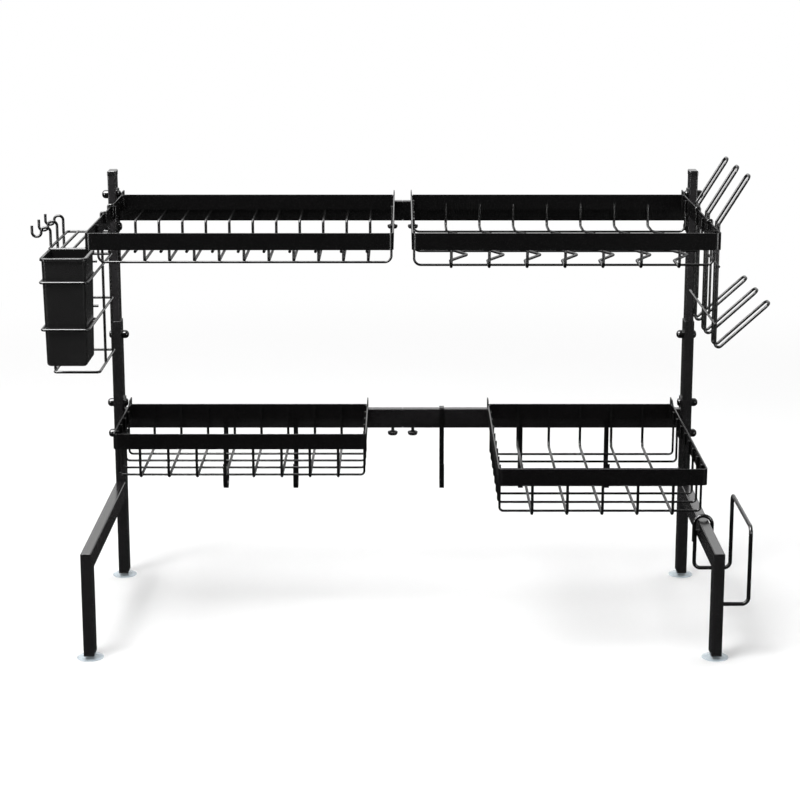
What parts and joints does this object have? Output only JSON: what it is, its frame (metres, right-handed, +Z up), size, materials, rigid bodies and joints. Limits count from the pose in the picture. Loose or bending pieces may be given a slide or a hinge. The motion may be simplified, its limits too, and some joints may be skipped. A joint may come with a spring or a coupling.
{
  "type": "dish rack",
  "caption": "Tiered over-sink dish rack: telescopic black frame with hanging racks, baskets, hooks, utensil holder, cup rack and board holder.",
  "frame": {"origin": "middle of the flat underside of the front left suction foot, on the counter", "axes": "+X along the rack to the right, +Y to the back, +Z up"},
  "size_m": [0.8234, 0.338, 0.5452],
  "materials": {
    "black_metal": "satin black powder coat",
    "fastener_metal": "gloss black domed fasteners",
    "black_plastic": "black moulded plastic",
    "cup_plastic": "black moulded plastic with a soft sheen",
    "clear_vinyl": "clear bluish soft vinyl",
    "screw_metal": "dark nickel-plated steel"
  },
  "bodies": {
    "left_frame": {"left_rear_post": "black_metal", "left_rail": "black_metal", "left_front_leg": "black_metal", "left_foot_plugs": "black_plastic", "left_suction_cups": "clear_vinyl", "left_lower_bar": "black_metal", "left_lower_fasteners": "fastener_metal"},
    "left_upper": {"left_upper_post": "black_metal", "left_post_cap": "black_plastic", "left_upper_bar": "black_metal", "left_upper_fasteners": "fastener_metal"},
    "left_lower_screw": {"left_lower_thumb_screw": "screw_metal"},
    "left_upper_screw": {"left_upper_thumb_screw": "screw_metal"},
    "right_frame": {"right_rear_post": "black_metal", "right_rail": "black_metal", "right_front_leg": "black_metal", "right_foot_plugs": "black_plastic", "right_suction_cups": "clear_vinyl", "right_lower_bar": "black_metal", "right_lower_fasteners": "fastener_metal"},
    "right_upper": {"right_upper_post": "black_metal", "right_post_cap": "black_plastic", "right_upper_bar": "black_metal", "right_upper_fasteners": "fastener_metal"},
    "right_lower_screw": {"right_lower_thumb_screw": "screw_metal"},
    "right_upper_screw": {"right_upper_thumb_screw": "screw_metal"},
    "lower_sleeve": {"lower_connector": "black_metal"},
    "upper_sleeve": {"upper_connector": "black_metal"},
    "bowl_rack": {"bowl_rack_rim": "black_metal", "bowl_rack_back_strip": "black_metal", "bowl_rack_stepped_wires": "black_metal", "bowl_rack_long_wires": "black_metal"},
    "plate_rack": {"plate_rack_rim": "black_metal", "plate_rack_back_strip": "black_metal", "plate_rack_dividers": "black_metal", "plate_rack_long_wires": "black_metal"},
    "small_basket": {"small_basket_rim": "black_metal", "small_basket_back_strip": "black_metal", "small_basket_depth_wires": "black_metal", "small_basket_long_wires": "black_metal"},
    "large_basket": {"large_basket_rim": "black_metal", "large_basket_back_strip": "black_metal", "large_basket_depth_wires": "black_metal", "large_basket_long_wires": "black_metal"},
    "hook_1": {"j_hook_1": "black_metal"},
    "hook_2": {"j_hook_2": "black_metal"},
    "hook_3": {"j_hook_3": "black_metal"},
    "hook_4": {"j_hook_4": "black_metal"},
    "hook_5": {"j_hook_5": "black_metal"},
    "utensil_holder": {"utensil_holder_rings": "black_metal", "utensil_holder_uprights": "black_metal"},
    "utensil_cup": {"utensil_cup": "cup_plastic"},
    "cup_rack": {"cup_rack_loops": "black_metal", "cup_rack_cross_wires": "black_metal"},
    "board_holder": {"board_holder": "black_metal"}
  },
  "joints": [
    {"name": "width", "type": "slide", "parent": "left_frame", "child": "right_frame", "axis": [1, 0, 0], "range_m": [0, 0.2]},
    {"name": "height", "type": "slide", "parent": "left_frame", "child": "left_upper", "axis": [0, 0, 1], "range_m": [0, 0.06]},
    {"name": "lower_sleeve_slide", "type": "slide", "parent": "left_frame", "child": "lower_sleeve", "axis": [1, 0, 0], "range_m": [0, 0.1]},
    {"name": "upper_sleeve_slide", "type": "slide", "parent": "left_upper", "child": "upper_sleeve", "axis": [1, 0, 0], "range_m": [0, 0.1]},
    {"name": "right_height", "type": "slide", "parent": "right_frame", "child": "right_upper", "axis": [0, 0, 1], "range_m": [0, 0.06]},
    {"name": "left_lower_screw_turn", "type": "hinge", "parent": "left_frame", "child": "left_lower_screw", "pos_m": [0.3415, 0.306, 0.1935], "axis": [0, 0, 1], "range_deg": [0, 360]},
    {"name": "left_upper_screw_turn", "type": "hinge", "parent": "left_upper", "child": "left_upper_screw", "pos_m": [0.3415, 0.306, 0.4545], "axis": [0, 0, 1], "range_deg": [0, 360]},
    {"name": "right_lower_screw_turn", "type": "hinge", "parent": "right_frame", "child": "right_lower_screw", "pos_m": [0.3665, 0.306, 0.1935], "axis": [0, 0, 1], "range_deg": [0, 360]},
    {"name": "right_upper_screw_turn", "type": "hinge", "parent": "right_upper", "child": "right_upper_screw", "pos_m": [0.3665, 0.306, 0.4545], "axis": [0, 0, 1], "range_deg": [0, 360]},
    {"name": "bowl_rack_lift", "type": "slide", "parent": "left_upper", "child": "bowl_rack", "axis": [0, 0, 1], "range_m": [0, 0.04]},
    {"name": "plate_rack_lift", "type": "slide", "parent": "right_upper", "child": "plate_rack", "axis": [0, 0, 1], "range_m": [0, 0.04]},
    {"name": "small_basket_lift", "type": "slide", "parent": "left_frame", "child": "small_basket", "axis": [0, 0, 1], "range_m": [0, 0.04]},
    {"name": "large_basket_lift", "type": "slide", "parent": "right_frame", "child": "large_basket", "axis": [0, 0, 1], "range_m": [0, 0.04]},
    {"name": "utensil_holder_lift", "type": "slide", "parent": "bowl_rack", "child": "utensil_holder", "axis": [0, 0, 1], "range_m": [0, 0.04]},
    {"name": "utensil_cup_lift", "type": "slide", "parent": "utensil_holder", "child": "utensil_cup", "axis": [0, 0, 1], "range_m": [0, 0.12]},
    {"name": "cup_rack_lift", "type": "slide", "parent": "plate_rack", "child": "cup_rack", "axis": [0, 0, 1], "range_m": [0, 0.018]},
    {"name": "board_holder_lift", "type": "slide", "parent": "right_frame", "child": "board_holder", "axis": [0, 0, 1], "range_m": [0, 0.03]},
    {"name": "hook_1_slide", "type": "slide", "parent": "left_frame", "child": "hook_1", "axis": [1, 0, 0], "range_m": [-0.02, 0.02]},
    {"name": "hook_2_slide", "type": "slide", "parent": "left_frame", "child": "hook_2", "axis": [1, 0, 0], "range_m": [-0.02, 0.02]},
    {"name": "hook_3_slide", "type": "slide", "parent": "right_frame", "child": "hook_3", "axis": [1, 0, 0], "range_m": [-0.02, 0.02]},
    {"name": "hook_4_slide", "type": "slide", "parent": "right_frame", "child": "hook_4", "axis": [1, 0, 0], "range_m": [-0.02, 0.02]},
    {"name": "hook_5_slide", "type": "slide", "parent": "right_frame", "child": "hook_5", "axis": [1, 0, 0], "range_m": [-0.02, 0.02]}
  ],
  "couplings": [
    {"joint": "lower_sleeve_slide", "follows": "width", "ratio": 0.5},
    {"joint": "upper_sleeve_slide", "follows": "width", "ratio": 0.5},
    {"joint": "right_height", "follows": "height", "ratio": 1}
  ]
}
